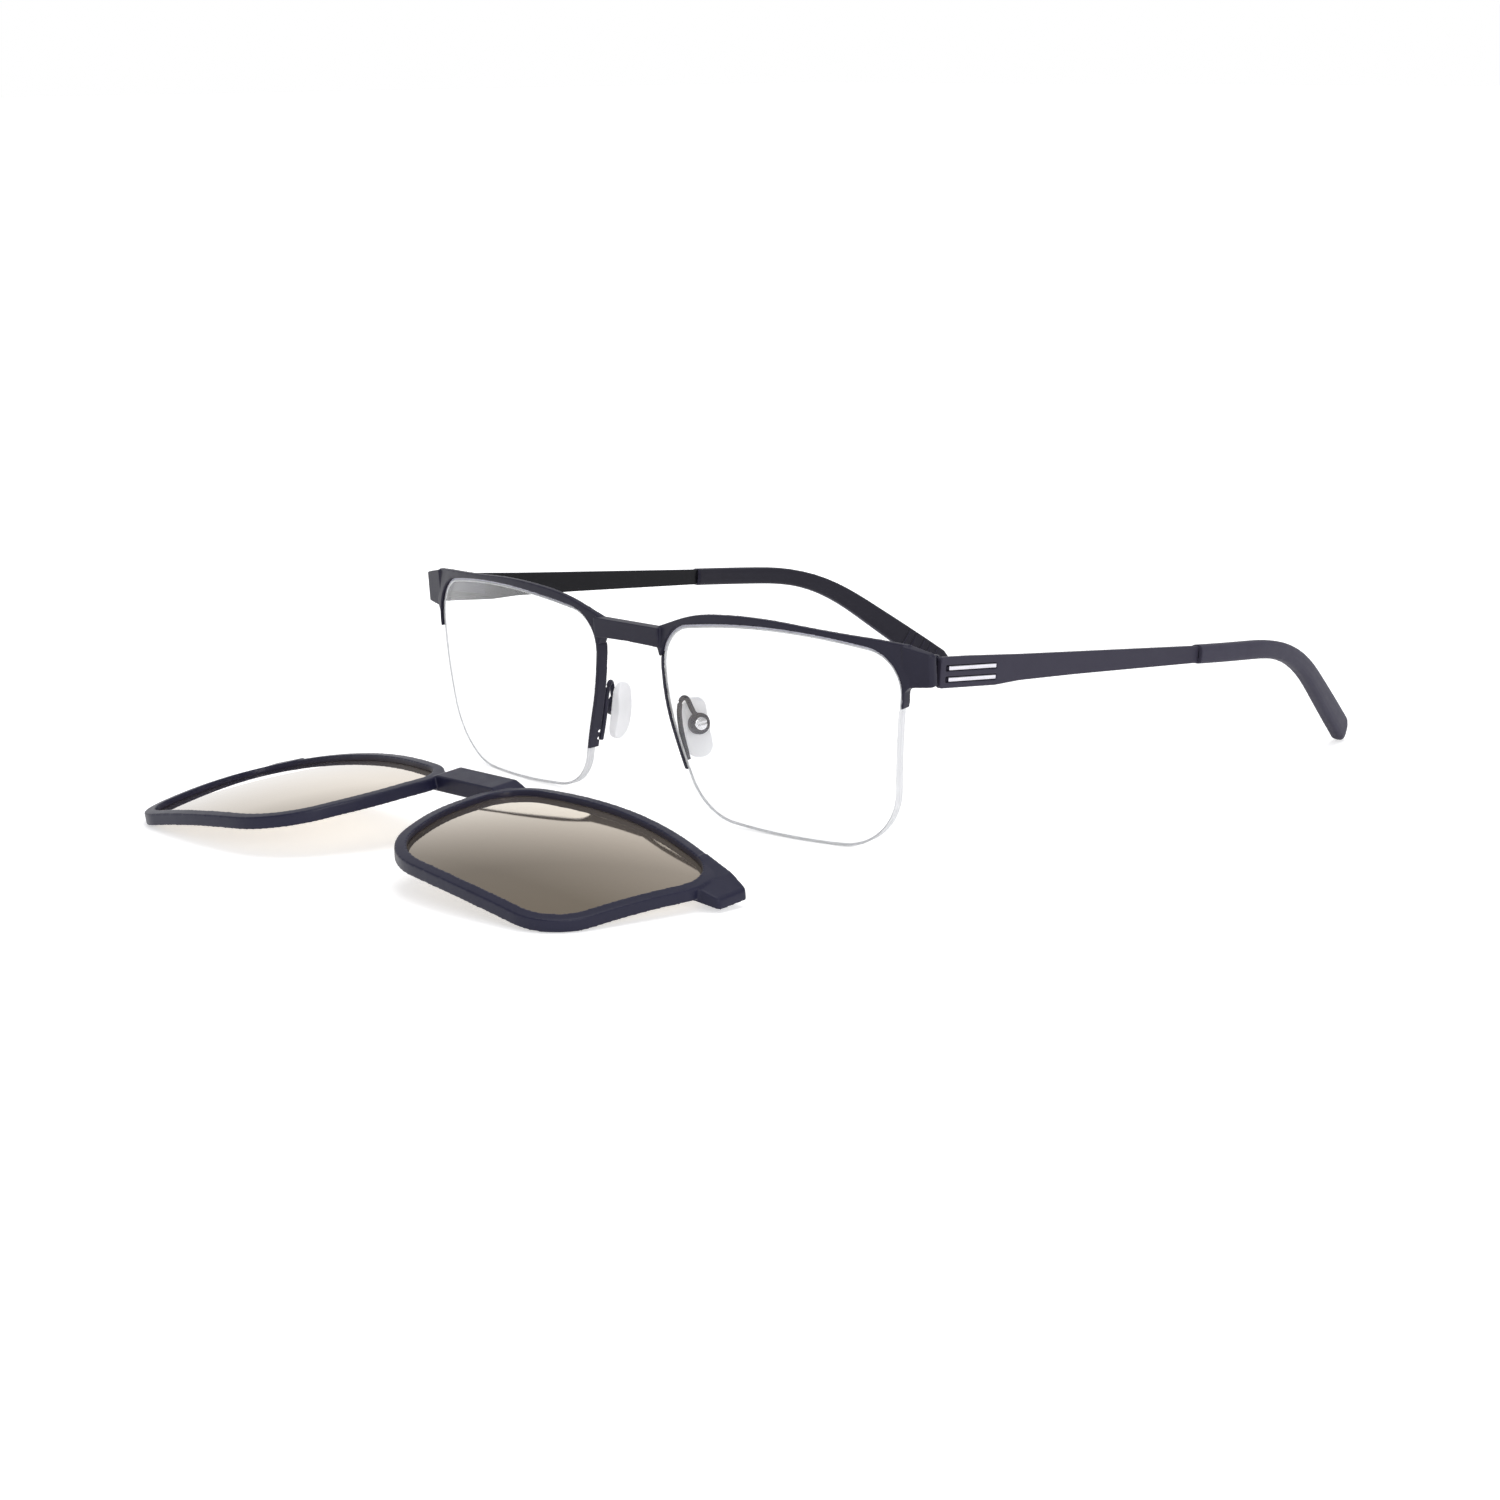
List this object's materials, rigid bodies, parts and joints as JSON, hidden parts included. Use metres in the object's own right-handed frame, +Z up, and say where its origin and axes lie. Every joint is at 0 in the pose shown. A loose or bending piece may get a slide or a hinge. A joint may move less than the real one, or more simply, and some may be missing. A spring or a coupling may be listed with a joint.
{
  "type": "eyeglasses",
  "caption": "Rectangular half-rim eyeglasses with folding temples and adjustable nose pads, and a clip-on front with mirrored lenses lying before them.",
  "frame": {"origin": "on the table, under the middle of the whole set: midway between the wearer's left and right, and midway between the clip-on's near edge and the temple tips", "axes": "+X is the wearer's left, +Y points from the front to the temple tips, +Z is up"},
  "size_m": [0.1402, 0.2205, 0.0404],
  "materials": {
    "front_metal": "matte dark blue-black paint",
    "temple_metal": "matte dark blue-grey paint",
    "liner": "white nylon liner",
    "cord": "clear nylon cord",
    "clear_lens": "clear polished",
    "screw_steel": "bright turned steel",
    "magnet": "nickel-plated",
    "pad": "clear soft silicone",
    "pad_insert": "clear hard plastic",
    "tip": "matte soft-touch charcoal",
    "trim": "polished steel",
    "core": "steel wire",
    "clip_plastic": "satin dark navy",
    "mirror_tint": "brown gradient mirror"
  },
  "bodies": {
    "front": {"brow_frame": "front_metal", "inner_rim_left": "front_metal", "inner_rim_right": "front_metal", "brow_liner_left": "liner", "brow_liner_right": "liner", "lens_left": "clear_lens", "lens_right": "clear_lens", "lens_cord_left": "cord", "lens_cord_right": "cord", "pad_arm_left": "front_metal", "pad_arm_right": "front_metal", "pad_screw_left": "screw_steel", "pad_screw_right": "screw_steel", "hinge_leaf_left": "front_metal", "hinge_leaf_right": "front_metal", "hinge_screw_left": "screw_steel", "hinge_screw_right": "screw_steel", "bridge_magnets": "magnet"},
    "temple_left_arm": {"temple_left": "temple_metal", "temple_leaf_left": "front_metal", "trim_bars_left": "trim", "temple_tip_left": "tip", "core_wire_left": "core"},
    "temple_right_arm": {"temple_right": "temple_metal", "temple_leaf_right": "front_metal", "trim_bars_right": "trim", "temple_tip_right": "tip", "core_wire_right": "core"},
    "pad_left": {"nose_pad_left": "pad", "pad_insert_left": "pad_insert"},
    "pad_right": {"nose_pad_right": "pad", "pad_insert_right": "pad_insert"},
    "clip_on": {"clip_frame": "clip_plastic", "clip_lens_left": "mirror_tint", "clip_lens_right": "mirror_tint", "clip_magnets": "magnet"}
  },
  "joints": [
    {"name": "temple_left_fold", "type": "hinge", "parent": "front", "child": "temple_left_arm", "pos_m": [0.0669, -0.02603, 0.03396], "axis": [0, 0, 1], "range_deg": [0, 83]},
    {"name": "temple_right_fold", "type": "hinge", "parent": "front", "child": "temple_right_arm", "pos_m": [-0.0669, -0.02603, 0.03396], "axis": [0, 0, -1], "range_deg": [0, 73]},
    {"name": "pad_left_rock", "type": "hinge", "parent": "front", "child": "pad_left", "pos_m": [0.0106, -0.02943, 0.01731], "axis": [-0.9418, 0.3007, -0.1505], "range_deg": [-10, 10]},
    {"name": "pad_right_rock", "type": "hinge", "parent": "front", "child": "pad_right", "pos_m": [-0.0106, -0.02943, 0.01731], "axis": [0.9418, 0.3007, -0.1505], "range_deg": [-10, 10]},
    {"name": "clip_swing", "type": "hinge", "parent": "front", "child": "clip_on", "pos_m": [0, -0.06924, 0.04036], "axis": [1, 0, 0], "range_deg": [0, 88.2]}
  ]
}
